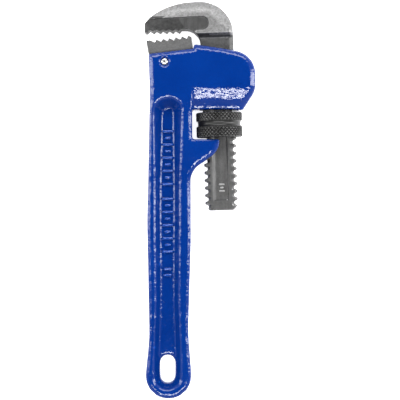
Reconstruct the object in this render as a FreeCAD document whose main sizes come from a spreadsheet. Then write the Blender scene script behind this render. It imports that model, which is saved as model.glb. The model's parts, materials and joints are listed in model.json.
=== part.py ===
import FreeCAD, Part
import Sketcher
import math
import os

# An 8 inch heavy-duty pipe wrench, lying flat on its back cheek.
# +X runs from the handle's back edge to the jaw loop, +Y from the hang hole to the jaws, +Z is up.
# Every sub-part is built about the wrench's middle plane and lifted by mid_height.

DIMENSIONS = {
    # the whole wrench
    "mid_height": 10.35,        # middle plane above the rest plane, the nut's radius
    # the shank's axis, which leans towards the heel jaw
    "axis_x": 8.55,
    "axis_y": 33.4,
    "jaw_lean": 1.7,
    # handle and housing
    "head_thick": 18.7,
    "lip_thick": 12.2,          # of the loop over the window, where its slope ends
    "grip_thick": 12.4,
    "end_thick": 12.8,
    "web_thick": 5.2,
    "channel_slope": 32.0,      # the draft of its walls, which lean in towards the web
    "window_left": -3.6,
    "window_top": 40.0,
    "window_bottom": 26.8,
    "hang_width": 6.7,
    "hang_length": 12.6,
    "hang_x": -14.6,
    "hang_y": -76.1,
    # the shank's passage
    "passage_thick": 8.0,
    "passage_back": 8.3,        # from the axis towards the heel jaw
    "passage_neck": 8.8,        # from the axis towards the loop's outer wall, at both mouths
    "passage_front": 12.0,      # the same, beside the leaf spring
    # hook jaw
    "jaw_thick": 13.0,
    "shank_thick": 7.0,
    "shank_width": 14.8,
    "hook_reach": 32.2,
    "hook_top": 55.4,
    "hook_teeth_line": 42.0,
    "hook_flat_depth": 0.7,
    "shank_end": -38.4,
    "thread_start": 13.0,
    "pitch": 3.4,
    "thread_depth": 1.5,
    "crest_flat": 1.0,
    "groove_floor": 1.3,
    "recess_depth": 0.9,        # of the long recess in each face of the shank
    # heel jaw
    "seat_x": -23.1,
    "seat_y": 64.7,
    "seat_slope": 6.8,
    "heel_length": 20.0,
    "heel_height": 6.1,
    "tooth_pitch": 2.86,
    "tooth_depth": 1.3,
    "tenon_thick": 6.0,
    "pin_dia": 3.0,
    "pin_x": -15.9,
    "pin_y": 61.2,
    "pin_fit": 0.01,            # on the radius of every pin and rivet bore
    # adjusting nut
    "nut_height": 11.2,
    "nut_groove": 2.0,
    "nut_groove_depth": 0.7,
    "thread_gap": 0.2,
    # springs, inside the loop
    "coil_wire": 0.7,
    "coil_dia": 4.4,
    "coil_length": 7.0,
    "coil_pitch": 1.2,
    "coil_y": 52.0,
    "leaf_thick": 0.7,
    "leaf_width": 6.4,
    "leaf_length": 15.4,
    "leaf_bow": 4.6,
    "rivet_dia": 2.0,
    "rivet_y": 26.6,
}

HOOK_TEETH = 6
HEEL_TEETH = 7
NOTHING = 0.01                  # a cut that takes less than this, in cubic mm, has missed
JOINED = 1e-6                   # points closer than this are one point

OUT = "parts"
os.makedirs(OUT, exist_ok=True)
doc = FreeCAD.newDocument("pipe_wrench")
sheet = doc.addObject("Spreadsheet::Sheet", "sizes")
for row, (alias, number) in enumerate(DIMENSIONS.items(), start=1):
    sheet.set(f"A{row}", alias)
    sheet.set(f"B{row}", str(number))
    sheet.setAlias(f"B{row}", alias)
doc.recompute()


def size(alias):
    return float(sheet.get(alias))


def vector(x, y, z=0.0):
    return FreeCAD.Vector(x, y, z)


def rotated(x, y, degrees):
    turn = math.radians(degrees)
    return (x * math.cos(turn) - y * math.sin(turn), x * math.sin(turn) + y * math.cos(turn))


def from_jaw(x, y):
    """A point of the leaning jaw frame, in the handle's frame."""
    across, along = rotated(x, y, size("jaw_lean"))
    return (size("axis_x") + across, size("axis_y") + along)


def from_seat(x, y):
    """A point of the heel jaw's frame, whose x runs along its seat, in the handle's frame."""
    across, along = rotated(x, y, size("seat_slope"))
    return (size("seat_x") + across, size("seat_y") + along)


def corner_arc(before, corner, after):
    """The arc that rounds a corner (x, y, radius), or None, with the outline's points beside it."""
    here = vector(corner[0], corner[1])
    back = (vector(before[0], before[1]) - here).normalize()
    ahead = (vector(after[0], after[1]) - here).normalize()
    radius = corner[2]
    if radius <= 0:
        return None, here, here
    half = back.getAngle(ahead) / 2
    start = here + back * (radius / math.tan(half))
    end = here + ahead * (radius / math.tan(half))
    toward_centre = (back + ahead).normalize()
    centre = here + toward_centre * (radius / math.sin(half))
    middle = centre - toward_centre * radius
    return Part.Arc(start, middle, end), start, end


def outline(corners):
    """Lines and arcs of a closed outline, from its corners (x, y, radius)."""
    count = len(corners)
    arcs = [corner_arc(corners[i - 1], corners[i], corners[(i + 1) % count]) for i in range(count)]
    edges = []
    for i, (arc, start, end) in enumerate(arcs):
        if arc is not None:
            edges.append(arc)
        following = arcs[(i + 1) % count][1]
        ahead = vector(*corners[(i + 1) % count][:2]) - vector(*corners[i][:2])
        if (following - end).dot(ahead) < -JOINED:
            raise ValueError(f"the rounds overlap after corner {corners[i]}")
        if end.distanceToPoint(following) > JOINED:
            edges.append(Part.LineSegment(end, following))
    return edges


def sharp(points, radius=0.0):
    return [(x, y, radius) for x, y in points]


def origin_plane(body, role):
    return next(item for item in body.Origin.OriginFeatures if item.Role == role)


def new_body(name):
    body = doc.addObject("PartDesign::Body", name)
    body.Label = name
    return body


def sketch_on(body, name, role, edges, offset=None):
    """A fixed sketch on one of the body's origin planes, lifted along its normal by an expression."""
    sketch = body.newObject("Sketcher::SketchObject", name)
    sketch.AttachmentSupport = [(origin_plane(body, role), "")]
    sketch.MapMode = "FlatFace"
    if offset is not None:
        sketch.setExpression("AttachmentOffset.Base.z", offset)
    for index in sketch.addGeometry(edges, False):
        sketch.addConstraint(Sketcher.Constraint("Block", index))
    return sketch


def pad(body, name, sketch, length):
    """A pad of the sketch, the same length each side of its plane."""
    feature = body.newObject("PartDesign::Pad", name)
    feature.Profile = sketch
    feature.Midplane = True
    feature.setExpression("Length", length)
    sketch.Visibility = False
    return feature


def pocket(body, name, sketch, length, midplane=True, reverse=False, slope=None):
    """A pocket that must take material away, as its volume shows."""
    doc.recompute()
    before = body.Shape.Volume
    feature = body.newObject("PartDesign::Pocket", name)
    feature.Profile = sketch
    feature.Midplane = midplane
    feature.Reversed = reverse
    feature.setExpression("Length", length)
    if slope is not None:
        feature.setExpression("TaperAngle", slope)
    doc.recompute()
    if body.Shape.Volume > before - NOTHING:
        raise RuntimeError(f"{name} cut nothing")
    return feature


def drill(body, name, radius, height, base, axis, degrees):
    """A subtractive cylinder, its axis turned about the given axis from +Z."""
    doc.recompute()
    before = body.Shape.Volume
    hole = body.newObject("PartDesign::SubtractiveCylinder", name)
    hole.setExpression("Radius", radius)
    hole.setExpression("Height", height)
    hole.Placement = FreeCAD.Placement(base, FreeCAD.Rotation(axis, degrees))
    doc.recompute()
    if body.Shape.Volume > before - NOTHING:
        raise RuntimeError(f"{name} cut nothing")
    return hole


def turned_body(name, section):
    """A body turned about +Z from half of its section: distance from the axis, then height."""
    body = new_body(name)
    sketch = sketch_on(body, f"{name}_section", "XZ_Plane", outline(section))
    turn = body.newObject("PartDesign::Revolution", f"{name}_turned")
    turn.Profile = sketch
    turn.ReferenceAxis = (sketch, ["V_Axis"])
    turn.Angle = 360
    return body


def lift(item):
    item.setExpression("Placement.Base.z", "sizes.mid_height")


def place_on_axis(item):
    """Put an object built in the jaw frame where the leaning shank runs."""
    item.Placement = FreeCAD.Placement(vector(0, 0), FreeCAD.Rotation(vector(0, 0, 1), size("jaw_lean")))
    item.setExpression("Placement.Base.x", "sizes.axis_x")
    item.setExpression("Placement.Base.y", "sizes.axis_y")
    item.setExpression("Placement.Rotation.Angle", "sizes.jaw_lean")
    lift(item)


def place_turned(item, foot, axis, degrees):
    """Put an object built about +Z at a point of the jaw frame, turned about one of its axes first."""
    lean = FreeCAD.Rotation(vector(0, 0, 1), size("jaw_lean"))
    x, y = from_jaw(*foot)
    turn = lean.multiply(FreeCAD.Rotation(axis, degrees))
    item.Placement = FreeCAD.Placement(vector(x, y, size("mid_height")), turn)
    lift(item)


# ---------------------------------------------------------------- handle


def handle_outline():
    """The cast handle seen from the front: seat, loop, window, cheek and grip."""
    left, top, bottom = size("window_left"), size("window_top"), size("window_bottom")
    seat_end = from_seat(size("heel_length") + 0.35, 0)
    return [
        (size("seat_x"), size("seat_y"), 0),
        (seat_end[0], seat_end[1], 0),
        (seat_end[0], seat_end[1] + 2.0, 0.6),
        (14.3, 66.5, 45),
        (24.5, 64.2, 10.2),
        (24.7, 48.4, 9),
        (18.9, top - 0.35, 1.0),
        (17.4, top, 0),
        (left, top, 0.9),
        (left, bottom, 0.9),
        (8.55, bottom, 0.4),
        (8.55, 21.8, 8),
        (-4.4, 12.6, 9),
        (-4.15, -18, 150),
        (-5.35, -60, 80),
        (-4.0, -77, 30),
        (-4.0, -89.1, 10.1),
        (-24.4, -89.1, 10.1),
        (-24.4, -77.5, 20),
        (-22.8, -62, 60),
        (-23.8, -10, 150),
        (-22.5, 48, 100),
    ]


def thickness_cut(sign):
    """What is taken off one face, seen from the side: y along the handle, z across."""
    head = size("head_thick") / 2
    grip, end = size("grip_thick") / 2, size("end_thick") / 2
    far = head + 5
    profile = [
        (-95, end, 0),
        (-79, end, 60),
        (-50, grip - 0.2, 120),
        (6, grip, 60),
        (50, head, 6),
        (66, head, 4),
        (72, head - 1.2, 0),
        (80, head - 1.2, 0),
        (80, far, 0),
        (-95, far, 0),
    ]
    return [(y, sign * z, r) for y, z, r in profile]


def loop_slope(sign):
    """The slope of the loop's face down to the window's top edge, seen from the side."""
    head, lip = size("head_thick") / 2, size("lip_thick") / 2
    lip_edge = size("window_top") + 1
    far = head + 5
    profile = [
        (size("window_top") - 3, lip, 0),
        (lip_edge, lip, 3),
        (44.8, head - 1.45, 3),
        (50, head, 0),
        (50, far, 0),
        (size("window_top") - 3, far, 0),
    ]
    return [(y, sign * z, r) for y, z, r in profile]


def channel_outline():
    """The long recess between the flanges, which runs on around the hang hole, at the head's face."""
    return [
        (-21.4, 44.0, 7.0),
        (-7.6, 47.3, 6.4),
        (-7.2, 0, 0),
        (-7.4, -45, 100),
        (-6.6, -70, 30),
        (-6.6, -87.2, 7.9),
        (-22.7, -87.2, 7.9),
        (-22.7, -70, 30),
        (-22.0, -45, 100),
        (-22.3, 0, 0),
    ]


def build_handle():
    body = new_body("handle")
    blank = sketch_on(body, "handle_outline", "XY_Plane", outline(handle_outline()))
    pad(body, "handle_blank", blank, "sizes.head_thick")
    for label, sign in (("front", 1), ("back", -1)):
        side = sketch_on(body, f"{label}_profile", "YZ_Plane", outline(thickness_cut(sign)))
        pocket(body, f"{label}_taper", side, "100 mm")
        slope = sketch_on(body, f"{label}_slope_outline", "YZ_Plane", outline(loop_slope(sign)),
                          "sizes.window_left")
        pocket(body, f"{label}_slope", slope, "40 mm", midplane=False, reverse=True)
    for label, sign in (("front", 1), ("back", -1)):
        offset = f"{sign} * sizes.head_thick / 2"
        channel = sketch_on(body, f"{label}_channel", "XY_Plane", outline(channel_outline()), offset)
        depth = "(sizes.head_thick - sizes.web_thick) / 2"
        pocket(body, f"{label}_recess", channel, depth, midplane=False, reverse=(sign < 0),
               slope="-sizes.channel_slope")
    cut_hang_hole(body)
    cut_passage(body)
    cut_heel_seat(body)
    cut_spring_seats(body)
    lift(body)
    return body


def cut_hang_hole(body):
    width, length = size("hang_width"), size("hang_length")
    x, y = size("hang_x"), size("hang_y")
    across, along = width / 2, length / 2
    corners = [(x + sx * across, y + sy * along, across - 0.001)
               for sx, sy in ((-1, -1), (1, -1), (1, 1), (-1, 1))]
    hole = sketch_on(body, "hang_outline", "XY_Plane", outline(corners))
    pocket(body, "hang_hole", hole, "sizes.head_thick")


def cut_passage(body):
    """The slot that the shank slides in: through the loop, and open-sided between the cheeks."""
    back, front = -size("passage_back"), size("passage_front")
    neck = size("passage_neck")
    above = [from_jaw(x, y) for x, y in (
        (back, 3), (neck, 3), (neck, 10.5), (front, 13.5), (front, 29.5), (neck, 35), (neck, 44), (back, 44))]
    loop = sketch_on(body, "loop_passage", "XY_Plane", outline(sharp(above)))
    pocket(body, "loop_slot", loop, "sizes.passage_thick")
    below = [from_jaw(x, y) for x, y in ((back, -30), (20, -30), (20, -3), (back, -3))]
    cheeks = sketch_on(body, "cheek_passage", "XY_Plane", outline(sharp(below)))
    pocket(body, "cheek_slot", cheeks, "sizes.passage_thick")


def tenon_outline(gap):
    """The heel jaw's tenon, in the frame of its seat, grown by a gap."""
    return [(4.2 - gap, 1), (11.0 + gap, 1), (11.0 + gap, -6.6 - gap), (4.2 - gap, -6.6 - gap)]


def cut_heel_seat(body):
    points = [from_seat(x, y) for x, y in tenon_outline(0.1)]
    slot = sketch_on(body, "tenon_slot", "XY_Plane", outline(sharp(points)))
    pocket(body, "heel_mortise", slot, "sizes.tenon_thick + 0.1")
    half = size("head_thick") / 2
    base = vector(size("pin_x"), size("pin_y"), -half - 1)
    drill(body, "pin_bore", "sizes.pin_dia / 2 + sizes.pin_fit", "sizes.head_thick + 2", base, vector(0, 0, 1), 0)
    for sign in (-1, 1):
        sink = body.newObject("PartDesign::SubtractiveCone", "pin_sink_back" if sign < 0 else "pin_sink_front")
        sink.Radius1 = 1.5
        sink.Radius2 = 2.2
        sink.Height = 0.7
        turn = 0 if sign > 0 else 180
        sink.Placement = FreeCAD.Placement(vector(size("pin_x"), size("pin_y"), sign * (half - 0.7)),
                                           FreeCAD.Rotation(vector(1, 0, 0), turn))


def cut_spring_seats(body):
    """A blind bore for the coil spring and a rivet hole for the leaf spring, off the loop's passage."""
    lean = size("jaw_lean")
    x, y = from_jaw(-size("passage_back") + 1, size("coil_y") - size("axis_y"))
    turn = FreeCAD.Rotation(vector(0, 0, 1), lean).multiply(FreeCAD.Rotation(vector(0, 1, 0), -90))
    bore = body.newObject("PartDesign::SubtractiveCylinder", "coil_bore")
    bore.setExpression("Radius", "sizes.coil_dia / 2 + 0.4")
    bore.setExpression("Height", "sizes.coil_length + 0.6")
    bore.Placement = FreeCAD.Placement(vector(x, y), turn)
    x, y = from_jaw(size("passage_front") - 1, size("rivet_y"))
    turn = FreeCAD.Rotation(vector(0, 0, 1), lean).multiply(FreeCAD.Rotation(vector(0, 1, 0), 90))
    rivet = body.newObject("PartDesign::SubtractiveCylinder", "rivet_bore")
    rivet.setExpression("Radius", "sizes.rivet_dia / 2 + sizes.pin_fit")
    rivet.Height = 3.2
    rivet.Placement = FreeCAD.Placement(vector(x, y), turn)


# ---------------------------------------------------------------- hook jaw


def hook_outline():
    """The hook and upper shank in the jaw frame, with its raked teeth."""
    half, reach, top = size("shank_width") / 2, size("hook_reach"), size("hook_top")
    line = size("hook_teeth_line")
    step, depth = size("tooth_pitch"), 1.25
    corners = [
        (-reach, line, 0),
        (-reach + 0.1, line + 4.3, 0.8),
        (-reach + 2.3, line + 6.6, 1.5),
        (-21.0, top - 0.2, 33),
        (half, top, 14.8),
        (half, size("thread_start"), 0),
        (-half, size("thread_start"), 0),
        (-half, line + depth - 0.2, 6.8),
    ]
    for i in range(HOOK_TEETH):
        tip = -reach + 1.3 + step * (HOOK_TEETH - 1 - i)
        corners.append((tip + 1.0, line + depth, 0))
        corners.append((tip, line, 0))
    return corners


def hook_side_cut(sign):
    """What is taken off one face of the hook, seen from the side, to bring it down to the shank."""
    jaw, shank = size("jaw_thick") / 2, size("shank_thick") / 2
    profile = [
        (0, shank, 0),
        (39.2, shank, 1.2),
        (41.0, jaw, 0.8),
        (52, jaw, 8),
        (57, jaw - 1.6, 0),
        (60, jaw - 1.6, 0),
        (60, jaw + 3, 0),
        (0, jaw + 3, 0),
    ]
    return [(y, sign * z, r) for y, z, r in profile]


def face_recess_outline():
    """The sunken flat beside the hook's teeth."""
    reach, line = size("hook_reach"), size("hook_teeth_line")
    return [
        (-reach - 2, line + 5.9, 0),
        (-3.3, line + 6.7, 2.9),
        (-3.3, line + 0.6, 2.9),
        (-9.4, line + 0.4, 1.0),
        (-11.5, line - 3, 0),
        (-reach - 2, line - 3, 0),
    ]


def build_hook_head():
    body = new_body("hook_head")
    blank = sketch_on(body, "hook_outline", "XY_Plane", outline(hook_outline()))
    pad(body, "hook_blank", blank, "sizes.jaw_thick")
    for label, sign in (("front", 1), ("back", -1)):
        side = sketch_on(body, f"hook_{label}_profile", "YZ_Plane", outline(hook_side_cut(sign)))
        pocket(body, f"hook_{label}_taper", side, "100 mm")
    for label, sign in (("front", 1), ("back", -1)):
        offset = f"{sign} * sizes.jaw_thick / 2"
        recess = sketch_on(body, f"hook_{label}_recess", "XY_Plane", outline(face_recess_outline()), offset)
        pocket(body, f"hook_{label}_flat", recess, "sizes.hook_flat_depth", midplane=False, reverse=(sign < 0))
    return body


def groove_profile(name, inner, outer, inner_width, outer_width, start):
    """A trapezium in the plane of the axis, which a helix carries round."""
    points = [
        vector(inner, 0, start - inner_width / 2),
        vector(outer, 0, start - outer_width / 2),
        vector(outer, 0, start + outer_width / 2),
        vector(inner, 0, start + inner_width / 2),
    ]
    polygon = doc.addObject("Part::Polygon", name)
    polygon.Nodes = points
    polygon.Close = True
    return polygon


def helix_sweep(name, profile, radius, pitch, height, start):
    spine = doc.addObject("Part::Helix", f"{name}_spine")
    spine.setExpression("Radius", radius)
    spine.setExpression("Pitch", pitch)
    spine.setExpression("Height", height)
    spine.Placement.Base = vector(0, 0, start)
    sweep = doc.addObject("Part::Sweep", name)
    sweep.Sections = [profile]
    sweep.Spine = (spine, ["Edge1"])
    sweep.Solid = True
    sweep.Frenet = True
    return sweep


def thread_widths():
    """The groove's width at the crests and at its floor."""
    return size("pitch") - size("crest_flat"), size("groove_floor")


def upright_to_shank(item):
    """Turn an object built about +Z so that it lies along the jaw frame's +Y."""
    item.Placement = FreeCAD.Placement(vector(0, 0), FreeCAD.Rotation(vector(1, 0, 0), -90))


def build_threaded_shank():
    """A flat bar whose narrow sides lie on the crest cylinder and carry a helical thread."""
    crest = size("shank_width") / 2
    floor = crest - size("thread_depth")
    wide, narrow = thread_widths()
    grow = (wide - narrow) / size("thread_depth")
    start = size("shank_end") - 2 * size("pitch")
    profile = groove_profile("groove_profile", floor, crest + 1, narrow, wide + grow, start)
    groove = helix_sweep("thread_groove", profile, "sizes.shank_width / 2 - sizes.thread_depth",
                         "sizes.pitch", "sizes.thread_start - sizes.shank_end + 4", start)
    low, top = size("shank_end"), size("thread_start") + 0.5
    section = [(0, low, 0), (crest - 1.8, low, 0), (crest, low + 2.2, 0), (crest, top, 0), (0, top, 0)]
    blank = turned_body("shank_blank", section)
    cut = doc.addObject("Part::Cut", "threaded_rod")
    cut.Base = blank
    cut.Tool = groove
    doc.recompute()
    if cut.Shape.Volume > blank.Shape.Volume - 1000:
        raise RuntimeError("the thread wasn't cut")
    slab = doc.addObject("Part::Box", "shank_slab")
    slab.Length = 40
    slab.setExpression("Width", "sizes.shank_thick")
    slab.Height = 120
    slab.Placement.Base = vector(-20, -size("shank_thick") / 2, -60)
    bar = doc.addObject("Part::Common", "threaded_bar")
    bar.Base = cut
    bar.Tool = slab
    upright_to_shank(bar)
    return bar


def shank_recess(sign):
    """The long shallow recess in one face of the shank: a tapered block, steep on its +X wall."""
    depth, above = size("recess_depth"), 1.1
    grow = (depth + above) / depth
    low, high = size("shank_end") + 5.1, size("shank_end") + 45.5
    block = doc.addObject("Part::Wedge", "shank_recess_front" if sign > 0 else "shank_recess_back")
    block.Xmin, block.Xmax = -2.4, 3.1
    block.X2min, block.X2max = -2.4 - 1.3 * grow, 3.1 + 0.2 * grow
    block.Ymin, block.Ymax = 0, depth + above
    start, end = (-high, -low) if sign > 0 else (low, high)
    block.Zmin, block.Zmax = start, end
    block.Z2min, block.Z2max = start - 0.8 * grow, end + 0.8 * grow
    floor = sign * (size("shank_thick") / 2 - depth)
    block.Placement = FreeCAD.Placement(vector(0, 0, floor), FreeCAD.Rotation(vector(1, 0, 0), sign * 90))
    return block


def build_hook_jaw():
    joined = doc.addObject("Part::Fuse", "hook_jaw_joined")
    joined.Base = build_hook_head()
    joined.Tool = build_threaded_shank()
    with_front = doc.addObject("Part::Cut", "hook_jaw_front_cut")
    with_front.Base = joined
    with_front.Tool = shank_recess(1)
    jaw = doc.addObject("Part::Cut", "hook_jaw")
    jaw.Label = "hook_jaw"
    jaw.Base = with_front
    jaw.Tool = shank_recess(-1)
    place_on_axis(jaw)
    return jaw


# ---------------------------------------------------------------- adjusting nut


def nut_section():
    """Half of the ring's section: distance from the axis, then height."""
    outer, half = size("mid_height"), size("nut_height") / 2
    bore = size("shank_width") / 2 + size("thread_gap")
    groove, deep = size("nut_groove") / 2, size("nut_groove_depth")
    middle = 0.5
    return [
        (bore, -half + 0.6, 0),
        (bore + 0.6, -half, 0),
        (outer, -half, 0.5),
        (outer, middle - groove - deep, 0),
        (outer - deep, middle - groove, 0),
        (outer - deep, middle + groove, 0),
        (outer, middle + groove + deep, 0),
        (outer, half, 0.5),
        (bore + 0.6, half, 0),
        (bore, half - 0.6, 0),
    ]


def build_nut():
    ring = turned_body("nut_ring", nut_section())
    crest = size("shank_width") / 2
    gap = size("thread_gap")
    floor = crest - size("thread_depth")
    wide, narrow = thread_widths()
    grow = (wide - narrow) / size("thread_depth")
    start = size("shank_end") - 2 * size("pitch")
    turns = round((-size("nut_height") - start) / size("pitch")) - 1
    begin = start + turns * size("pitch")
    outer = crest + gap + 0.3
    inner_width = narrow + grow * gap - 2 * gap
    outer_width = inner_width + grow * (outer - floor - gap)
    profile = groove_profile("ridge_profile", floor + gap, outer, inner_width, outer_width, begin)
    ridge = helix_sweep("nut_ridge", profile, "sizes.shank_width / 2 - sizes.thread_depth + sizes.thread_gap",
                        "sizes.pitch", "3 * sizes.nut_height", begin)
    core = doc.addObject("Part::Cylinder", "nut_core")
    core.Radius = outer + 0.5
    core.setExpression("Height", "sizes.nut_height - 1.2")
    core.Placement.Base = vector(0, 0, 0.6 - size("nut_height") / 2)
    inside = doc.addObject("Part::Common", "nut_thread")
    inside.Base = ridge
    inside.Tool = core
    nut = doc.addObject("Part::Fuse", "adjusting_nut")
    nut.Label = "adjusting_nut"
    nut.Base = ring
    nut.Tool = inside
    place_turned(nut, (0, 0), vector(1, 0, 0), -90)
    return nut


# ---------------------------------------------------------------- heel jaw and its pin


def heel_outline():
    """The toothed block in the frame of its seat, with its raked teeth."""
    length, height = size("heel_length"), size("heel_height")
    step, depth = size("tooth_pitch"), size("tooth_depth")
    corners = [(0, 0.02, 0), (-0.3, height, 0.2)]
    for i in range(HEEL_TEETH):
        tip = 1.45 + step * i
        corners.append((tip, height, 0))
        if i < HEEL_TEETH - 1:
            corners.append((tip + 0.7 * step, height - depth, 0))
    corners.append((length, height - 0.8, 0.3))
    corners.append((length, 0.02, 0))
    return corners


def build_heel_jaw():
    body = new_body("heel_jaw")
    block = sketch_on(body, "heel_outline", "XY_Plane", outline(heel_outline()))
    pad(body, "heel_block", block, "sizes.jaw_thick")
    tenon = sketch_on(body, "tenon_outline", "XY_Plane", outline(sharp(tenon_outline(0))))
    pad(body, "heel_tenon", tenon, "sizes.tenon_thick")
    across, along = size("pin_x") - size("seat_x"), size("pin_y") - size("seat_y")
    x, y = rotated(across, along, -size("seat_slope"))
    drill(body, "heel_pin_bore", "sizes.pin_dia / 2 + sizes.pin_fit", "sizes.jaw_thick + 2",
          vector(x, y, -size("jaw_thick") / 2 - 1), vector(0, 0, 1), 0)
    body.Placement = FreeCAD.Placement(vector(0, 0), FreeCAD.Rotation(vector(0, 0, 1), size("seat_slope")))
    body.setExpression("Placement.Base.x", "sizes.seat_x")
    body.setExpression("Placement.Base.y", "sizes.seat_y")
    body.setExpression("Placement.Rotation.Angle", "sizes.seat_slope")
    lift(body)
    return body


def build_pin():
    """A straight pin with softened ends, just below both faces of the housing."""
    half, radius = size("head_thick") / 2 - 0.25, size("pin_dia") / 2
    section = [(0, -half, 0), (radius - 0.35, -half, 0), (radius, -half + 0.35, 0),
               (radius, half - 0.35, 0), (radius - 0.35, half, 0), (0, half, 0)]
    body = turned_body("heel_jaw_pin", section)
    body.setExpression("Placement.Base.x", "sizes.pin_x")
    body.setExpression("Placement.Base.y", "sizes.pin_y")
    lift(body)
    return body


# ---------------------------------------------------------------- springs


def build_coil_spring():
    """A compression spring between its blind bore and the back of the shank."""
    wire, mean = size("coil_wire"), (size("coil_dia") - size("coil_wire")) / 2
    ring = doc.addObject("Part::Circle", "coil_section")
    ring.Radius = wire / 2
    ring.Placement = FreeCAD.Placement(vector(mean, 0, wire / 2), FreeCAD.Rotation(vector(1, 0, 0), 90))
    spring = helix_sweep("coil_spring", ring, "(sizes.coil_dia - sizes.coil_wire) / 2",
                         "sizes.coil_pitch", "sizes.coil_length - sizes.coil_wire", wire / 2)
    spring.Label = "coil_spring"
    foot = (-size("passage_back") + 0.75, size("coil_y") - size("axis_y"))
    place_turned(spring, foot, vector(0, 1, 0), -90)
    return spring


def leaf_outline():
    """The bowed strip on edge, in the jaw frame: its foot lies on the loop's wall."""
    wall, thick, length = size("passage_front") - 0.02, size("leaf_thick"), size("leaf_length")
    bow = size("leaf_bow")
    top = size("rivet_y") + 2.2
    return [
        (wall, top, 0),
        (wall, top - 6.0, 5),
        (wall - bow, top - 10.4, 5),
        (wall - 2.0, top - length, 0),
        (wall - 2.0 - thick, top - length, 0),
        (wall - bow - thick, top - 10.4, 5 + thick),
        (wall - thick, top - 6.0, 5 - thick),
        (wall - thick, top, 0),
    ]


def build_leaf_spring():
    body = new_body("leaf_spring")
    strip = sketch_on(body, "leaf_outline", "XY_Plane", outline(leaf_outline()))
    pad(body, "leaf_strip", strip, "sizes.leaf_width")
    drill(body, "leaf_rivet_bore", "sizes.rivet_dia / 2 + sizes.pin_fit", "6 mm",
          vector(size("passage_front") - 3, size("rivet_y")), vector(0, 1, 0), 90)
    place_on_axis(body)
    return body


def build_rivet():
    """The pin that holds the leaf spring to the loop's wall."""
    radius = size("rivet_dia") / 2
    shoulder = 2.15 + size("leaf_thick") + 0.02
    section = [(0, 0, 0), (radius, 0, 0), (radius, shoulder, 0), (1.8, shoulder, 0),
               (1.8, shoulder + 0.3, 0), (1.2, shoulder + 0.8, 0), (0, shoulder + 0.8, 0)]
    body = turned_body("spring_rivet", section)
    place_turned(body, (size("passage_front") + 2.15, size("rivet_y")), vector(0, 1, 0), -90)
    return body


# ---------------------------------------------------------------- checks and files


def failed_objects():
    doc.recompute()
    return [item.Name for item in doc.Objects if "Invalid" in item.State or "Error" in item.State]


def main():
    pieces = [
        build_handle(),
        build_hook_jaw(),
        build_nut(),
        build_heel_jaw(),
        build_pin(),
        build_coil_spring(),
        build_leaf_spring(),
        build_rivet(),
    ]
    failed = failed_objects()
    if failed:
        raise RuntimeError(f"objects failed: {failed}")
    for piece in pieces:
        shape = piece.Shape
        if shape.isNull() or not shape.isValid() or len(shape.Solids) != 1:
            raise RuntimeError(f"{piece.Label} isn't one valid solid")
        shape.exportStep(os.path.join(OUT, f"{piece.Label}.step"))
        box = shape.optimalBoundingBox()
        low = [round(v, 2) for v in (box.XMin, box.YMin, box.ZMin)]
        high = [round(v, 2) for v in (box.XMax, box.YMax, box.ZMax)]
        print(piece.Label, round(shape.Volume, 1), low, high)


main()
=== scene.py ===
import json
import math

import bmesh
import bpy
import numpy as np
from mathutils import Matrix, Vector
from mathutils.kdtree import KDTree


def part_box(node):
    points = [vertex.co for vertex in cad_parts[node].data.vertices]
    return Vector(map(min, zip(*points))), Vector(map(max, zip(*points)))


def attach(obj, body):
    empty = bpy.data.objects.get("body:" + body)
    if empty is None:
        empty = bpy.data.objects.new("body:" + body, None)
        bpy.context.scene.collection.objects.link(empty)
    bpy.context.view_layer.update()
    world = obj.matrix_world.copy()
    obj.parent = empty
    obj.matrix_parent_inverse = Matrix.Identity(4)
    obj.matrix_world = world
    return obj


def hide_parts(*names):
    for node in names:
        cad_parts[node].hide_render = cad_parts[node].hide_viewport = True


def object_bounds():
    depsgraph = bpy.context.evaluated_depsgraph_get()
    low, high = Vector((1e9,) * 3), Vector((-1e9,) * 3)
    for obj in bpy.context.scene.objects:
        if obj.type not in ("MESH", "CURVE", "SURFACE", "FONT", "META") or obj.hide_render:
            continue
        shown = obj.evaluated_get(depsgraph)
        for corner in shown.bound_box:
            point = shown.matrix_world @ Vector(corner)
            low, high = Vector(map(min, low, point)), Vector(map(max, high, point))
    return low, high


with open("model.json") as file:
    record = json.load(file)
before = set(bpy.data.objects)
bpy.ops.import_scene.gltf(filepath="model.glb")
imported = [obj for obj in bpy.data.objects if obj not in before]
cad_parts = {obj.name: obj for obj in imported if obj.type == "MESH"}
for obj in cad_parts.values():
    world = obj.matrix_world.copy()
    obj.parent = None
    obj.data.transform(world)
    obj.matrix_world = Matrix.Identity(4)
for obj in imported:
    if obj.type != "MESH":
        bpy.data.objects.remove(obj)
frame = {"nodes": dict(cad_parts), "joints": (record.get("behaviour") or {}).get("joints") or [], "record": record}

# The pipe wrench lies flat: +Y from the hang hole to the jaws, +X to the loop, +Z up.
# The cast, forged and broached pieces are softened copies of their CAD nodes.
# The nut is turned and knurled here, and the pin is turned with domed ends.
# Lengths in the functions are millimetres, unless a comment says metres; MM turns them into metres.

MM = 0.001
CAD_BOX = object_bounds()
JOINTS = {joint["name"]: joint for joint in frame["joints"]}
SHANK_AXIS = Vector(JOINTS["jaw_slide"]["axis"]).normalized()
SHANK_SIDE = SHANK_AXIS.cross(Vector((0, 0, 1)))
SHANK_FOOT = Vector(JOINTS["nut_spin"]["pos_m"])
MIDDLE = SHANK_FOOT.z

# measures of the part that its boxes and joints don't give
HALF_WEB = 2.6
HALF_SHANK = 3.5
SHANK_RECESS = 0.9
NUT_HALF_HEIGHT = 5.6
NUT_BORE = 7.75
PIN_BORE = 1.78                 # the radius at the pin's visible rim


# ---------------------------------------------------------------- mesh helpers


def body_of_node(node):
    bodies = frame["record"]["behaviour"]["bodies"]
    return next(body for body, members in bodies.items() if node in members)


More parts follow.
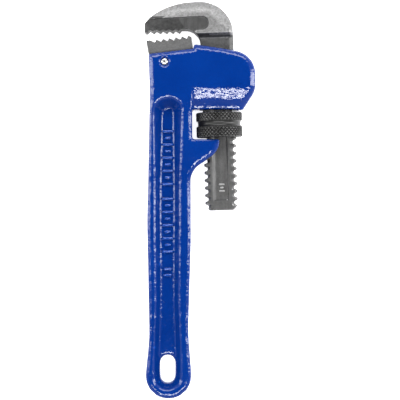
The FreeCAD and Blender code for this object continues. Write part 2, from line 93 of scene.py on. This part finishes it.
def new_object(name, mesh, material, body):
    piece = bpy.data.objects.new(name, mesh)
    bpy.context.scene.collection.objects.link(piece)
    mesh.materials.clear()
    mesh.materials.append(material)
    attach(piece, body)
    return piece


def baked(piece):
    """The piece's mesh with its modifiers applied."""
    bpy.context.view_layer.update()
    graph = bpy.context.evaluated_depsgraph_get()
    mesh = bpy.data.meshes.new_from_object(piece.evaluated_get(graph))
    old = piece.data
    piece.modifiers.clear()
    piece.data = mesh
    bpy.data.meshes.remove(old)
    return mesh


def coordinates(mesh):
    places = np.empty(len(mesh.vertices) * 3)
    mesh.vertices.foreach_get("co", places)
    return places.reshape(-1, 3)


def move_points(mesh, places):
    """Put the mesh's points at these places, in metres."""
    mesh.vertices.foreach_set("co", places.ravel())
    mesh.update()


def shade_smooth(mesh):
    for polygon in mesh.polygons:
        polygon.use_smooth = True


def smooth_mesh(name, work):
    """A mesh with smooth shading, from a bmesh that is then freed."""
    data = bpy.data.meshes.new(name)
    work.to_mesh(data)
    work.free()
    shade_smooth(data)
    return data


def shaft_frame(places):
    """Distance across the shank, and distance along it from the nut's centre, in millimetres."""
    local = (places - np.array(SHANK_FOOT)) / MM
    return local @ np.array(SHANK_SIDE), local @ np.array(SHANK_AXIS)


def step(values, low, high):
    """A smooth step from 0 at low to 1 at high."""
    t = np.clip((values - low) / (high - low), 0, 1)
    return t * t * (3 - 2 * t)


def soften(node, name, material, voxel, passes, levels=10):
    """A copy of a CAD node, remeshed evenly and smoothed.

    Each pass is a count and a weight function, or None for a pass over the whole piece."""
    source = frame["nodes"][node]
    piece = new_object(name, source.data.copy(), material, body_of_node(node))
    remesh = piece.modifiers.new("even", "REMESH")
    remesh.mode = "VOXEL"
    remesh.voxel_size = voxel * MM
    remesh.use_smooth_shade = True
    baked(piece)
    for count, weight in passes:
        group = piece.vertex_groups.new(name="soft")
        smooth = piece.modifiers.new("smooth", "SMOOTH")
        smooth.factor = 0.5
        smooth.iterations = count
        if weight is not None:
            shares = weight(coordinates(piece.data))
            for level in range(1, levels + 1):
                chosen = np.nonzero(np.round(shares * levels) == level)[0].tolist()
                group.add(chosen, level / levels, "REPLACE")
            smooth.vertex_group = group.name
        baked(piece)
        piece.vertex_groups.clear()
    piece.data.materials.clear()
    piece.data.materials.append(material)
    shade_smooth(piece.data)
    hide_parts(node)
    return piece


# ---------------------------------------------------------------- material helpers


def material(name):
    """A new material, its nodes and links, and its Principled shader."""
    made = bpy.data.materials.new(name)
    made.use_nodes = True
    nodes, links = made.node_tree.nodes, made.node_tree.links
    return made, nodes, links, nodes["Principled BSDF"]


def noise(nodes, links, scale, detail=3.0, roughness=0.5, stretch=(1, 1, 1)):
    """3-D noise in object space; scale counts features in a metre."""
    place = nodes.new("ShaderNodeTexCoord")
    mapping = nodes.new("ShaderNodeMapping")
    mapping.inputs["Scale"].default_value = stretch
    texture = nodes.new("ShaderNodeTexNoise")
    texture.inputs["Scale"].default_value = scale
    texture.inputs["Detail"].default_value = detail
    texture.inputs["Roughness"].default_value = roughness
    links.new(place.outputs["Object"], mapping.inputs["Vector"])
    links.new(mapping.outputs["Vector"], texture.inputs["Vector"])
    return texture.outputs["Fac"]


def ramp(nodes, links, value, stops):
    """A colour ramp of (position, colour) stops."""
    made = nodes.new("ShaderNodeValToRGB")
    elements = made.color_ramp.elements
    while len(elements) < len(stops):
        elements.new(0.5)
    for element, (position, colour) in zip(elements, stops):
        element.position = position
        element.color = (*colour, 1) if len(colour) == 3 else colour
    links.new(value, made.inputs["Fac"])
    return made.outputs["Color"]


def grey(value):
    return (value, value, value)


def mix(nodes, links, factor, first, second):
    """Colour mix; first and second are colours or sockets."""
    node = nodes.new("ShaderNodeMix")
    node.data_type = "RGBA"
    links.new(factor, node.inputs["Factor"])
    for socket, value in ((node.inputs[6], first), (node.inputs[7], second)):
        if isinstance(value, tuple):
            socket.default_value = (*value, 1)
        else:
            links.new(value, socket)
    return node.outputs[2]


def bump(nodes, links, height, distance, strength=1.0, under=None):
    node = nodes.new("ShaderNodeBump")
    node.inputs["Strength"].default_value = strength
    node.inputs["Distance"].default_value = distance
    links.new(height, node.inputs["Height"])
    if under is not None:
        links.new(under, node.inputs["Normal"])
    return node.outputs["Normal"]


def convex_edge_share(nodes, links, low, high):
    """1 on convex edges, 0 on flats, from the mesh's pointiness."""
    geometry = nodes.new("ShaderNodeNewGeometry")
    spread = nodes.new("ShaderNodeMapRange")
    spread.inputs["From Min"].default_value = low
    spread.inputs["From Max"].default_value = high
    links.new(geometry.outputs["Pointiness"], spread.inputs["Value"])
    return spread.outputs["Result"]


def attribute(nodes, name):
    node = nodes.new("ShaderNodeAttribute")
    node.attribute_name = name
    return node.outputs["Fac"]


# ---------------------------------------------------------------- materials


def enamel():
    """Glossy blue enamel over a sand-cast skin."""
    made, nodes, links, shader = material("blue_enamel")
    cloud = noise(nodes, links, 60, 4)
    blue = ramp(nodes, links, cloud, [(0.3, (0.0004, 0.02, 0.155)), (0.7, (0.0008, 0.025, 0.182))])
    # Convex edges are mixed to a lighter blue: a painted highlight along the rims.
    edge_share = convex_edge_share(nodes, links, 0.53, 0.62)
    links.new(mix(nodes, links, edge_share, blue, (0.003, 0.05, 0.3)), shader.inputs["Base Color"])
    sheen = ramp(nodes, links, noise(nodes, links, 420, 3), [(0.3, grey(0.07)), (0.75, grey(0.15))])
    links.new(sheen, shader.inputs["Roughness"])
    skin = bump(nodes, links, noise(nodes, links, 900, 2, 0.5), 0.0003, 0.32)
    broad = bump(nodes, links, noise(nodes, links, 330, 2), 0.0009, 0.28, under=skin)
    links.new(broad, shader.inputs["Normal"])
    shader.inputs["Specular IOR Level"].default_value = 0.5
    return made


def forged_steel():
    """Blasted grey forging; darker on the milled flats, partly for their finish and partly as painted shade;
    darkest at the hardened teeth; bright on edges, partly wear and partly painted highlight.
    """
    made, nodes, links, shader = material("forged_steel")
    blast = ramp(nodes, links, noise(nodes, links, 1100, 4, 0.65), [(0.3, grey(0.14)), (0.7, grey(0.3))])
    streak = noise(nodes, links, 700, 4, 0.6, (1, 0.15, 1))
    milled_shaded_tone = ramp(nodes, links, streak, [(0.3, grey(0.055)), (0.7, grey(0.09))])
    hardened = ramp(nodes, links, noise(nodes, links, 800, 4), [(0.3, grey(0.035)), (0.7, grey(0.06))])
    # The milled flats are painted darker, partly for their finish and partly as painted shade standing in for the
    # dark reflections these flats take.
    tone = mix(nodes, links, attribute(nodes, "milled_and_shaded"), blast, milled_shaded_tone)
    tone = mix(nodes, links, attribute(nodes, "toothed"), tone, hardened)
    # Convex edges are painted bright grey: partly wear, partly a painted highlight along the rims.
    edge_share = convex_edge_share(nodes, links, 0.53, 0.62)
    links.new(mix(nodes, links, edge_share, tone, grey(0.6)), shader.inputs["Base Color"])
    shader.inputs["Metallic"].default_value = 0.85
    rough = ramp(nodes, links, noise(nodes, links, 900, 3), [(0.3, grey(0.4)), (0.7, grey(0.55))])
    links.new(rough, shader.inputs["Roughness"])
    fine = bump(nodes, links, noise(nodes, links, 2200, 3, 0.6), 0.00016, 0.6)
    broad = bump(nodes, links, noise(nodes, links, 500, 3), 0.0003, 0.4, under=fine)
    links.new(broad, shader.inputs["Normal"])
    return made


def heel_steel():
    """Milled block with broached teeth: fine lines along the teeth and a matt grey face."""
    made, nodes, links, shader = material("heel_steel")
    streak = noise(nodes, links, 1500, 3, 0.6, (1, 1, 0.12))
    tone = ramp(nodes, links, streak, [(0.25, grey(0.09)), (0.75, grey(0.15))])
    edge_share = convex_edge_share(nodes, links, 0.53, 0.63)
    links.new(mix(nodes, links, edge_share, tone, grey(0.42)), shader.inputs["Base Color"])
    shader.inputs["Metallic"].default_value = 0.7
    rough = ramp(nodes, links, noise(nodes, links, 800, 3), [(0.3, grey(0.4)), (0.7, grey(0.58))])
    links.new(rough, shader.inputs["Roughness"])
    links.new(bump(nodes, links, noise(nodes, links, 2400, 4, 0.6), 0.00007, 0.6), shader.inputs["Normal"])
    return made


def black_oxide():
    """Black oxide, painted near black in the knurl's grooves as painted shade, and rubbed grey on its points."""
    made, nodes, links, shader = material("black_oxide")
    cloud = noise(nodes, links, 240, 4)
    groove_shade = ramp(nodes, links, cloud, [(0.3, grey(0.004)), (0.75, grey(0.01))])
    rubbed = ramp(nodes, links, cloud, [(0.3, grey(0.035)), (0.75, grey(0.09))])
    # The knurl's grooves take a near-black painted shade; its points are rubbed grey by wear.
    links.new(mix(nodes, links, attribute(nodes, "rubbed"), groove_shade, rubbed), shader.inputs["Base Color"])
    shader.inputs["Metallic"].default_value = 0.7
    rough = ramp(nodes, links, noise(nodes, links, 700, 3), [(0.3, grey(0.28)), (0.7, grey(0.42))])
    links.new(rough, shader.inputs["Roughness"])
    links.new(bump(nodes, links, noise(nodes, links, 3000, 3), 0.00004, 0.5), shader.inputs["Normal"])
    return made


def bright_steel():
    """Ground pin steel with fine turning marks."""
    made, nodes, links, shader = material("bright_steel")
    tone = ramp(nodes, links, noise(nodes, links, 900, 4), [(0.3, grey(0.62)), (0.7, grey(0.8))])
    links.new(tone, shader.inputs["Base Color"])
    shader.inputs["Metallic"].default_value = 1.0
    rough = ramp(nodes, links, noise(nodes, links, 1600, 3), [(0.3, grey(0.2)), (0.7, grey(0.34))])
    links.new(rough, shader.inputs["Roughness"])
    links.new(bump(nodes, links, noise(nodes, links, 3500, 2), 0.00003, 0.5), shader.inputs["Normal"])
    return made


def spring_steel():
    """Oiled, blue-grey tempered strip and wire."""
    made, nodes, links, shader = material("spring_steel")
    cloud = noise(nodes, links, 300, 3)
    tone = ramp(nodes, links, cloud, [(0.3, (0.16, 0.165, 0.18)), (0.7, (0.26, 0.265, 0.28))])
    links.new(tone, shader.inputs["Base Color"])
    shader.inputs["Metallic"].default_value = 1.0
    rough = ramp(nodes, links, noise(nodes, links, 1200, 3), [(0.3, grey(0.24)), (0.7, grey(0.38))])
    links.new(rough, shader.inputs["Roughness"])
    links.new(bump(nodes, links, noise(nodes, links, 3000, 2), 0.00003, 0.4), shader.inputs["Normal"])
    return made


MATERIALS = {
    "blue_enamel": enamel(),
    "forged_steel": forged_steel(),
    "hardened_steel": heel_steel(),
    "black_oxide": black_oxide(),
    "bright_steel": bright_steel(),
    "spring_steel": spring_steel(),
}


def slot_of_node(node):
    return next(part["material_slot"] for part in frame["record"]["subparts"] if part["node"] == node)


def finish(piece):
    """Return the piece as it is; its material was given when it was made."""
    return piece


# ---------------------------------------------------------------- handle


def wall_distance(chosen, across, along):
    """How far each point lies, in plan, from the chosen points, in millimetres."""
    tree = KDTree(int(chosen.sum()))
    for i in np.nonzero(chosen)[0]:
        tree.insert((across[i], along[i], 0), int(i))
    tree.balance()
    return np.array([tree.find((x, y, 0))[2] for x, y in zip(across, along)])


def vertex_normals(mesh):
    normals = np.empty(len(mesh.vertices) * 3)
    mesh.vertices.foreach_get("normal", normals)
    return normals.reshape(-1, 3)


def between(values, low, high):
    """1 inside a range and 0 outside it, easing over each pair of limits."""
    return step(values, *low) * (1 - step(values, *high))


def channel_share(places):
    """1 in the plan area of the long channels, 0 elsewhere."""
    x, y, _ = (places / MM).T
    return between(x, (-22.6, -21.4), (-7.4, -6.2)) * between(y, (-87.5, -86.5), (47, 51))


def plan_outline(x, y, bin_size):
    """A mask of the points that lie furthest out in plan, along each row and each column."""
    outer = np.zeros(len(x), bool)
    for fixed, free in ((y, x), (x, y)):
        order = np.lexsort((free, np.floor(fixed / bin_size)))
        row = np.floor(fixed[order] / bin_size)
        first = np.r_[True, row[1:] != row[:-1]]
        last = np.r_[first[1:], True]
        outer[order[first | last]] = True
    return outer


def round_loop(piece):
    """A broad roll along the loop's outer wall and a narrower one along the rest of the outline."""
    edge_width, more_on_loop = 2.4, 0.5
    edge_drop, deeper_on_loop = 0.1, 0.05
    two_voxels = 0.85
    mesh = piece.data
    places = coordinates(mesh)
    x, y, z = (places / MM).T
    lift = MIDDLE / MM
    in_window = (x > -3) & (x < 19) & (y > 25) & (y < 42)
    outside = plan_outline(x, y, two_voxels) & ~in_window
    distance = wall_distance(outside, x, y)
    loop = step(x, 6, 14) * step(y, 36, 42)
    width = edge_width + more_on_loop * loop
    inward = np.clip(1 - distance / width, 0, 1)
    drop = (edge_drop + deeper_on_loop * loop) * inward ** 1.7
    places[:, 2] = (lift + (z - lift) * (1 - drop)) * MM
    move_points(mesh, places)


def ease_pin_rims(piece):
    """True the rims of the pin's bore, which the even mesh leaves ragged, into shallow round dimples."""
    low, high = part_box("heel_jaw_pin")
    centre = (low + high) / 2
    mesh = piece.data
    places = coordinates(mesh)
    x, y = places[:, 0] - centre.x, places[:, 1] - centre.y
    reach = np.hypot(x, y) / MM
    face = (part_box("handle")[1].z - MIDDLE) / MM
    rim, reach_down, dimple_depth, tiny = 3.1, 2.2, 0.55, 0.01
    height = (places[:, 2] - MIDDLE) / MM
    near = (reach < rim) & (np.abs(height) > face - reach_down) & (reach > 0.4)
    trued = np.maximum(reach, PIN_BORE)
    share = np.clip((rim - trued) / (rim - PIN_BORE), 0, 1)
    dimple = face - dimple_depth * share ** 2
    on_face = near & (reach > PIN_BORE)
    height = np.where(on_face, np.sign(height) * dimple, height)
    scale = np.where(near, trued / np.maximum(reach, tiny), 1)
    places[:, 0] = centre.x + x * scale
    places[:, 1] = centre.y + y * scale
    places[:, 2] = MIDDLE + height * MM
    move_points(mesh, places)


def clear_coil_bore(piece):
    """Open the coil spring's bore, which the smoothing narrows, so that the spring can rock."""
    wider, deeper = 0.35, 0.25
    wire_edge, tiny = 2.4, 0.01
    low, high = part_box("coil_spring")
    centre = np.array([(low + high) / 2])
    mesh = piece.data
    places = coordinates(mesh)
    across, along = shaft_frame(places)
    spring_across, spring_along = shaft_frame(centre)
    beside = along - spring_along[0]
    above = (places[:, 2] - MIDDLE) / MM
    reach = np.hypot(beside, above)
    bottom = spring_across[0] - (high.x - low.x) / MM / 2 - 0.35
    along_bore = between(across, (bottom - 1.6, bottom - 0.6), (bottom + 9, bottom + 11))
    near = (1 - step(reach, 2.9, 4.2)) * along_bore
    grow = wider * np.clip(reach / wire_edge, 0, 1) * near / np.maximum(reach, tiny)
    deepen = deeper * (1 - step(np.abs(across - bottom), 0.6, 1.6)) * near
    side, axis = np.array(SHANK_SIDE), np.array(SHANK_AXIS)
    places += (grow * beside)[:, None] * axis * MM - deepen[:, None] * side * MM
    places[:, 2] += grow * above * MM
    move_points(mesh, places)


def build_handle():
    piece = soften("handle", "cast_handle", MATERIALS["blue_enamel"], 0.42, [(14, None), (30, channel_share)])
    round_loop(piece)
    ease_pin_rims(piece)
    clear_coil_bore(piece)
    return finish(piece)


def stadium(half_length, half_width, count=10):
    """Points round a bar with rounded ends, in its own plane."""
    ends = []
    for side in (1, -1):
        for i in range(count + 1):
            turn = math.pi * (i / count - 0.5) + (0 if side > 0 else math.pi)
            x = side * (half_length - half_width) + half_width * math.cos(turn)
            ends.append((x, half_width * math.sin(turn)))
    return ends


def raised_bar(mesh, centre, half_length, half_width, foot, top):
    """One low cushion-topped bar on the channel floor, from its foot up to its top."""
    rings = ((1.0, foot), (1.0, foot + 0.45 * (top - foot)), (0.86, foot + 0.85 * (top - foot)), (0.6, top))
    loops = []
    for share, height in rings:
        inset = (1 - share) * half_width
        points = stadium(half_length - inset, half_width - inset)
        loops.append([mesh.verts.new((centre[0] + x, centre[1] + y, height)) for x, y in points])
    for below, above in zip(loops, loops[1:]):
        for i in range(len(below)):
            j = (i + 1) % len(below)
            mesh.faces.new((below[i], below[j], above[j], above[i]))
    mesh.faces.new(loops[-1])
    mesh.faces.new(list(reversed(loops[0])))


def build_cast_marks():
    """Plain raised ribs, long and short in turn, on both channel floors."""
    rib_spacing, ribs_in_row, half_width = 2.95, 9, 0.7 * MM
    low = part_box("handle")[0]
    centre_x = low.x + 9.8 * MM
    floor = HALF_WEB * MM
    foot, top = floor - 0.6 * MM, floor + 1.0 * MM
    mesh = bmesh.new()
    for side in (1, -1):
        for start in (30.4, 0.2):
            for i in range(ribs_in_row):
                half_length = (1.5 if i % 2 else 2.6) * MM
                place = (centre_x, (start - rib_spacing * i) * MM)
                raised_bar(mesh, place, half_length, half_width, side * foot, side * top)
        for shift in (-1.35, 1.35):
            place = (centre_x, (-32.6 + shift) * MM)
            raised_bar(mesh, place, 1.9 * MM, half_width, side * foot, side * top)
    bmesh.ops.translate(mesh, verts=mesh.verts, vec=(0, 0, MIDDLE))
    bmesh.ops.recalc_face_normals(mesh, faces=mesh.faces)
    data = smooth_mesh("cast_marks", mesh)
    piece = new_object("cast_marks", data, MATERIALS["blue_enamel"], "handle_set")
    return finish(piece)


# ---------------------------------------------------------------- hook jaw and heel jaw


def hook_edges(places):
    """The hook's broad back and the shank's end are worn rounder than its teeth and thread."""
    across, along = shaft_frame(places)
    return np.maximum(step(along, 47.5, 49.5), 1 - step(along, -37.2, -36.2))


def outer_wall_distance(mesh):
    """How far each point lies, in plan, from the hook's outer wall, in millimetres."""
    places, normals = coordinates(mesh), vertex_normals(mesh)
    across, along = shaft_frame(places)
    side, ahead = normals @ np.array(SHANK_SIDE), normals @ np.array(SHANK_AXIS)
    outward = side * (across + 9) + ahead * (along - 44)
    level = np.abs(places[:, 2] - MIDDLE) < 0.6 * MM
    wall = (along > 36) & (ahead > -0.2) & (outward > 0) | (along > 15) & (across > 5) & (side > 0.7)
    return wall_distance(wall & level, across, along)


def crown_hook(piece):
    """Draw the faces of the hook's back down towards its outer wall, as a drop forging's draft does."""
    mesh = piece.data
    places = coordinates(mesh)
    across, along = shaft_frame(places)
    distance = outer_wall_distance(mesh)
    width = 5.6 - 3.6 * step(across, -2, 6) * (1 - step(along, 42, 47))
    inward = np.clip(1 - distance / width, 0, 1)
    where = np.maximum(step(along, 37.5, 42), step(across, 4.4, 5) * step(along, 15, 17))
    drop = 0.3 * inward ** 1.6 * where
    places[:, 2] = MIDDLE + (places[:, 2] - MIDDLE) * (1 - drop)
    move_points(mesh, places)


def mark_hook_zones(piece):
    """Attributes: one for the milled flats, 1 on the sunken flat and 0.9 on the shank, darkened partly for their
    milled finish and partly as painted shade; toothed, 1 beside the teeth.
    """
    mesh = piece.data
    places = coordinates(mesh)
    across, along = shaft_frame(places)
    depth = np.abs(places[:, 2] - MIDDLE) / MM
    sunken = step(-depth, -6.1, -5.95) * step(-along, -49.2, -48.9) * step(-across, 3.2, 3.5)
    shank = 1 - step(along, 39.6, 40.4)
    zone = np.maximum(sunken * step(along, 39, 40), 0.9 * shank)
    teeth = step(-across - 0.7 * (along - 42), 12.6, 13.4) * step(along, 38, 39) * step(-along, -49.2, -48.9)
    layer = mesh.attributes.new("milled_and_shaded", "FLOAT", "POINT")
    layer.data.foreach_set("value", zone.astype(np.float32))
    layer = mesh.attributes.new("toothed", "FLOAT", "POINT")
    layer.data.foreach_set("value", (teeth * np.maximum(sunken, step(-along, -43, -42.5))).astype(np.float32))


def build_hook_jaw():
    passes = [(3, None), (10, hook_edges)]
    piece = soften("hook_jaw", "hook_jaw_forging", MATERIALS["forged_steel"], 0.24, passes)
    crown_hook(piece)
    mark_hook_zones(piece)
    return finish(piece)


def build_shank_marks():
    """Three short plain bars on each face of the shank, where such a jaw carries a small stamp."""
    mesh = bmesh.new()
    for side in (1, -1):
        floor = side * (HALF_SHANK * MM - SHANK_RECESS * MM)
        foot, top = floor - side * 0.4 * MM, floor + side * 0.22 * MM
        for shift, length in ((-1.5, 1.3), (0, 0.8), (1.5, 1.3)):
            place = (0.3 * MM, (-28.2 + shift) * MM)
            raised_bar(mesh, place, length * MM, 0.42 * MM, foot, top)
    bmesh.ops.recalc_face_normals(mesh, faces=mesh.faces)
    data = smooth_mesh("shank_marks", mesh)
    turn = Matrix((SHANK_SIDE, SHANK_AXIS, Vector((0, 0, 1)))).transposed()
    data.transform(turn.to_4x4())
    data.transform(Matrix.Translation(SHANK_FOOT))
    piece = new_object("shank_marks", data, MATERIALS["forged_steel"], body_of_node("hook_jaw"))
    return finish(piece)


def build_heel_jaw():
    piece = soften("heel_jaw", "heel_jaw_block", MATERIALS["hardened_steel"], 0.17, [(3, None)])
    return finish(piece)


# ---------------------------------------------------------------- adjusting nut


def nut_profile(radius, half, bore):
    """Closed section of the nut: (height, radius, knurl share) in millimetres, outside first."""
    groove, deep, middle = 1.0, 0.7, 0.5
    lower = np.linspace(-half + 0.45, middle - groove - deep, 34)
    upper = np.linspace(middle + groove + deep, half - 0.45, 22)
    section = [(-half, radius - 0.55, 0), (-half + 0.16, radius - 0.2, 0)]
    section += [(y, radius, 1) for y in lower]
    for i in range(9):
        turn = math.pi * i / 8
        height = middle - (groove + deep * 0.4) * math.cos(turn)
        section.append((height, radius - 0.12 - deep * math.sin(turn), 0))
    section += [(y, radius, 1) for y in upper]
    section += [(half - 0.16, radius - 0.2, 0), (half, radius - 0.55, 0)]
    section += [(half, bore + 0.8, 0), (half - 0.1, bore + 0.6, 0), (half - 0.6, bore, 0)]
    section += [(0, bore, 0), (-half + 0.6, bore, 0), (-half + 0.1, bore + 0.6, 0), (-half, bore + 0.8, 0)]
    return section


def diamond(turn, height, radius, pitch):
    """Depth share of a diamond knurl: 0 at the points, 1 in the crossing grooves."""
    around = round(2 * math.pi * radius / pitch)
    lines = []
    for lean in (1, -1):
        phase = (around * turn / (2 * math.pi) + lean * height / pitch) % 1.0
        lines.append(np.abs(2 * phase - 1))
    return 1 - np.minimum(1 - lines[0], 1 - lines[1]) * 2


def build_nut():
    low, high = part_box("adjusting_nut")
    radius = (high.z - low.z) / 2 / MM
    steps, knurl_pitch, knurl_depth, plain_rub = 576, 1.7, 0.6, 0.45
    profile = nut_profile(radius, NUT_HALF_HEIGHT, NUT_BORE)
    turns = np.arange(steps) * 2 * math.pi / steps
    rings, rubbed = [], []
    for height, reach, knurl in profile:
        depth = 0.0
        rubbed.append(np.full(steps, plain_rub))
        if knurl:
            share = diamond(turns, height, radius, knurl_pitch)
            depth = knurl_depth * np.clip(share, 0, 1)
            # Rubbed is 1 on the knurl's points, worn grey, and 0 in its grooves, which take the painted shade.
            rubbed[-1] = 1 - np.clip(share, 0, 1)
        around = reach - depth
        ring = np.stack([around * np.cos(turns), around * np.sin(turns), np.full(steps, height)], axis=1)
        rings.append(ring)
    places = np.concatenate(rings) * MM
    count = len(profile)
    ring = np.arange(count)[:, None] * steps
    following = np.roll(np.arange(count), -1)[:, None] * steps
    i = np.arange(steps)[None, :]
    j = (i + 1) % steps
    faces = np.stack([ring + i, ring + j, following + j, following + i], axis=2).reshape(-1, 4)
    data = bpy.data.meshes.new("knurled_nut")
    data.from_pydata(places.tolist(), [], faces.tolist())
    turn = Matrix((SHANK_SIDE, Vector((0, 0, 1)), SHANK_AXIS)).transposed()
    data.transform(turn.to_4x4())
    data.transform(Matrix.Translation(SHANK_FOOT))
    layer = data.attributes.new("rubbed", "FLOAT", "POINT")
    layer.data.foreach_set("value", np.concatenate(rubbed).astype(np.float32))
    shade_smooth(data)
    piece = new_object("knurled_nut", data, MATERIALS["black_oxide"], body_of_node("adjusting_nut"))
    fix_normals(piece)
    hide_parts("adjusting_nut")
    return finish(piece)


def fix_normals(piece):
    mesh = bmesh.new()
    mesh.from_mesh(piece.data)
    bmesh.ops.recalc_face_normals(mesh, faces=mesh.faces)
    mesh.to_mesh(piece.data)
    mesh.free()


# ---------------------------------------------------------------- carried-over nodes


def lathe(section, steps):
    """A closed turned mesh about Z from (radius, height) points in metres; its ends lie on the axis."""
    mesh = bmesh.new()
    poles = [mesh.verts.new((0, 0, height)) for radius, height in (section[0], section[-1])]
    rings = []
    for radius, height in section[1:-1]:
        turns = [2 * math.pi * i / steps for i in range(steps)]
        rings.append([mesh.verts.new((radius * math.cos(a), radius * math.sin(a), height)) for a in turns])
    for below, above in zip(rings, rings[1:]):
        for i in range(steps):
            j = (i + 1) % steps
            mesh.faces.new((below[i], below[j], above[j], above[i]))
    for i in range(steps):
        j = (i + 1) % steps
        mesh.faces.new((poles[0], rings[0][j], rings[0][i]))
        mesh.faces.new((poles[1], rings[-1][i], rings[-1][j]))
    return mesh


def build_pin():
    """The heel jaw's pin, with ends peened to low domes."""
    low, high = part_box("heel_jaw_pin")
    radius, half = (high.x - low.x) / 2, (high.z - low.z) / 2
    flatness = 0.42
    angles = np.linspace(0, 1.45, 12)
    dome = [(radius * math.sin(a), half - radius * flatness * (1 - math.cos(a))) for a in angles]
    section = [(r, -z) for r, z in dome] + [(r, z) for r, z in reversed(dome)]
    data = smooth_mesh("pin", lathe(section, 48))
    data.transform(Matrix.Translation((low + high) / 2))
    piece = new_object("peened_pin", data, MATERIALS["bright_steel"], "handle_set")
    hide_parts("heel_jaw_pin")
    return finish(piece)


def dress_nodes():
    """The springs and the rivet keep their CAD shape and get their material."""
    for node in ("coil_spring", "leaf_spring", "spring_rivet"):
        mesh = frame["nodes"][node].data
        mesh.materials.clear()
        mesh.materials.append(MATERIALS[slot_of_node(node)])


# ---------------------------------------------------------------- studio


def area_light(name, place, size, power, target):
    light = bpy.data.lights.new(name, "AREA")
    light.shape = "RECTANGLE"
    light.size, light.size_y = size
    light.energy = power
    lamp = bpy.data.objects.new(name, light)
    lamp.location = place
    lamp.rotation_euler = (Vector(target) - Vector(place)).to_track_quat("-Z", "Y").to_euler()
    bpy.context.scene.collection.objects.link(lamp)


def build_floor():
    made, nodes, links, shader = material("floor_paper")
    tone = ramp(nodes, links, noise(nodes, links, 4, 2), [(0.3, grey(0.9)), (0.7, grey(0.93))])
    links.new(tone, shader.inputs["Base Color"])
    shader.inputs["Roughness"].default_value = 0.9
    shader.inputs["Specular IOR Level"].default_value = 0.1
    shader.inputs["Emission Color"].default_value = (1, 1, 1, 1)
    shader.inputs["Emission Strength"].default_value = 0.9
    mesh = bmesh.new()
    bmesh.ops.create_grid(mesh, x_segments=1, y_segments=1, size=2.5)
    data = bpy.data.meshes.new("floor")
    mesh.to_mesh(data)
    mesh.free()
    data.materials.append(made)
    floor = bpy.data.objects.new("floor", data)
    floor.location.z = -0.0002
    bpy.context.scene.collection.objects.link(floor)


def build_world():
    """A white studio with a dark ceiling, so that flats facing up stay deep and rims catch the light."""
    world = bpy.data.worlds.new("studio")
    world.use_nodes = True
    nodes, links = world.node_tree.nodes, world.node_tree.links
    place = nodes.new("ShaderNodeTexCoord")
    split = nodes.new("ShaderNodeSeparateXYZ")
    links.new(place.outputs["Generated"], split.inputs["Vector"])
    shade = ramp(nodes, links, split.outputs["Z"], [
        (0.0, grey(0.8)), (0.55, grey(0.62)), (0.8, grey(0.12)), (0.93, grey(0.02))])
    links.new(shade, nodes["Background"].inputs["Color"])
    bpy.context.scene.world = world


def build_studio():
    build_world()
    aim = (0, 0, MIDDLE)
    area_light("left_box", (-0.85, 0.1, 0.5), (0.25, 1.2), 7, aim)
    area_light("right_box", (0.85, 0.1, 0.5), (0.25, 1.2), 10, aim)
    area_light("low_box", (0, -0.5, 1.0), (0.8, 0.12), 8, aim)
    area_light("top_box", (0, 0.75, 0.72), (1.2, 0.35), 9, aim)
    bpy.context.scene.view_settings.view_transform = "Standard"


def build_camera():
    low, high = (Vector(corner) for corner in CAD_BOX)
    centre = (low + high) / 2
    distance, field, sensor = 0.68, 0.18, 36
    lens = bpy.data.cameras.new("camera")
    lens.sensor_width = sensor
    lens.lens = sensor * distance / field
    camera = bpy.data.objects.new("camera", lens)
    camera.location = (centre.x, centre.y, MIDDLE + distance)
    bpy.context.scene.collection.objects.link(camera)
    bpy.context.scene.camera = camera


build_handle()
build_cast_marks()
build_hook_jaw()
build_shank_marks()
build_heel_jaw()
build_nut()
build_pin()
dress_nodes()
build_floor()
build_studio()
build_camera()
